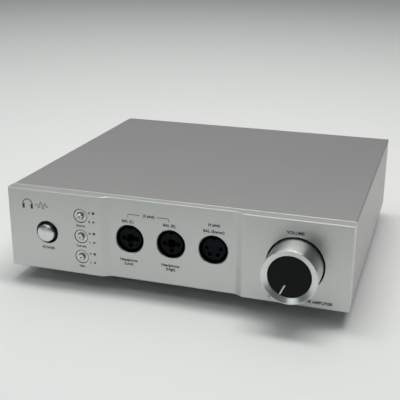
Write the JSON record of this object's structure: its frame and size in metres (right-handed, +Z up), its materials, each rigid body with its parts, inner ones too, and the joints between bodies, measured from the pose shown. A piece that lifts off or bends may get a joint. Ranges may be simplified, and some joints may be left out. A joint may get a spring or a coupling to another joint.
{
  "type": "headphone amplifier",
  "caption": "Low rectangular aluminium desktop amplifier: stepped thick front panel with sockets, small push buttons and a large turned volume knob, connectors at the back.",
  "frame": {"origin": "on the surface it stands on, under the centre of the whole envelope", "axes": "+X right seen from the front, +Y from the front panel to the back, +Z up"},
  "size_m": [0.24, 0.252, 0.069],
  "materials": {
    "anodised_panel": "fine bead-blasted, clear anodised",
    "anodised_cover": "satin anodised sheet",
    "zinc_steel": "zinc-plated steel sheet",
    "foot_plastic": "moulded matt black",
    "foot_rubber": "soft black rubber",
    "screw_steel": "bright zinc",
    "screw_black": "black oxide",
    "turned_aluminium": "lathe-turned, clear anodised",
    "black_disc": "satin black anodised",
    "mark_white": "white enamel",
    "black_plastic": "moulded black nylon",
    "circuit_board": "green solder mask",
    "gold_plate": "gold-plated brass",
    "insulator_white": "moulded white nylon",
    "contact_metal": "silver-plated brass",
    "fuse_glass": "clear glass with nickel caps",
    "winding_tape": "polyester tape over copper winding",
    "capacitor_sleeve": "shrink sleeve",
    "black_heatsink": "black anodised extrusion",
    "relay_case": "moulded case",
    "cable_black": "PVC sheath",
    "cable_red": "PVC sheath",
    "cable_grey": "PVC sheath",
    "socket_black": "black chromed die casting",
    "socket_metal": "nickel-plated die casting"
  },
  "bodies": {
    "case": {"front_panel": "anodised_panel", "top_cover": "anodised_cover", "cover_lugs": "anodised_cover", "base_plate": "zinc_steel", "sub_panel": "zinc_steel", "rear_panel": "anodised_cover", "feet": "foot_plastic", "foot_pads": "foot_rubber", "foot_screws": "screw_steel", "cover_screws": "screw_steel", "rear_screws": "screw_black", "inner_screws": "screw_steel", "volume_pot": "zinc_steel", "pot_nut": "screw_steel", "power_guide": "black_plastic", "power_switch": "black_plastic", "selector_rings": "turned_aluminium", "selector_switches": "black_plastic", "selector_board": "circuit_board", "line_sleeves": "gold_plate", "line_insulators": "insulator_white", "line_tips": "gold_plate", "inlet_housing": "black_plastic", "inlet_pins": "contact_metal", "transformer": "winding_tape", "transformer_pads": "foot_rubber", "transformer_washer": "screw_steel", "transformer_bolt": "screw_steel", "main_board": "circuit_board", "board_standoffs": "screw_steel", "filter_capacitors": "capacitor_sleeve", "heat_sinks": "black_heatsink", "output_transistors": "black_plastic", "relays": "relay_case", "board_headers": "insulator_white", "mains_harness": "cable_black", "secondary_harness": "cable_red", "signal_harness": "cable_grey", "socket_contacts": "contact_metal", "input_shells": "socket_metal", "input_inserts": "black_plastic", "low_socket_shell": "socket_black", "low_socket_insert": "black_plastic", "high_socket_shell": "socket_black", "high_socket_insert": "black_plastic", "balanced_socket_shell": "socket_black", "balanced_socket_insert": "black_plastic"},
    "volume": {"volume_knob": "turned_aluminium", "knob_disc": "black_disc", "knob_mark": "mark_white", "volume_shaft": "screw_steel"},
    "power": {"power_button": "turned_aluminium", "power_plunger": "black_plastic"},
    "source": {"source_button": "turned_aluminium"},
    "current": {"current_button": "turned_aluminium"},
    "gain": {"gain_button": "turned_aluminium"},
    "left_latch": {"left_input_latch": "turned_aluminium"},
    "right_latch": {"right_input_latch": "turned_aluminium"},
    "fuse_holder": {"fuse_drawer": "black_plastic", "fuse": "fuse_glass"}
  },
  "joints": [
    {"name": "volume_turn", "type": "hinge", "parent": "case", "child": "volume", "pos_m": [0.0843, -0.106, 0.0384], "axis": [0, 1, 0], "range_deg": [0, 300]},
    {"name": "power_press", "type": "slide", "parent": "case", "child": "power", "axis": [0, 1, 0], "range_m": [0, 0.003], "stiffness_N_per_m": 400},
    {"name": "source_press", "type": "slide", "parent": "case", "child": "source", "axis": [0, 1, 0], "range_m": [0, 0.0015], "stiffness_N_per_m": 300},
    {"name": "current_press", "type": "slide", "parent": "case", "child": "current", "axis": [0, 1, 0], "range_m": [0, 0.0015], "stiffness_N_per_m": 300},
    {"name": "gain_press", "type": "slide", "parent": "case", "child": "gain", "axis": [0, 1, 0], "range_m": [0, 0.0015], "stiffness_N_per_m": 300},
    {"name": "left_release", "type": "slide", "parent": "case", "child": "left_latch", "axis": [0, -1, 0], "range_m": [0, 0.0012], "stiffness_N_per_m": 300},
    {"name": "right_release", "type": "slide", "parent": "case", "child": "right_latch", "axis": [0, -1, 0], "range_m": [0, 0.0012], "stiffness_N_per_m": 300},
    {"name": "fuse_slide", "type": "slide", "parent": "case", "child": "fuse_holder", "axis": [0, 1, 0], "range_m": [0, 0.016]}
  ]
}
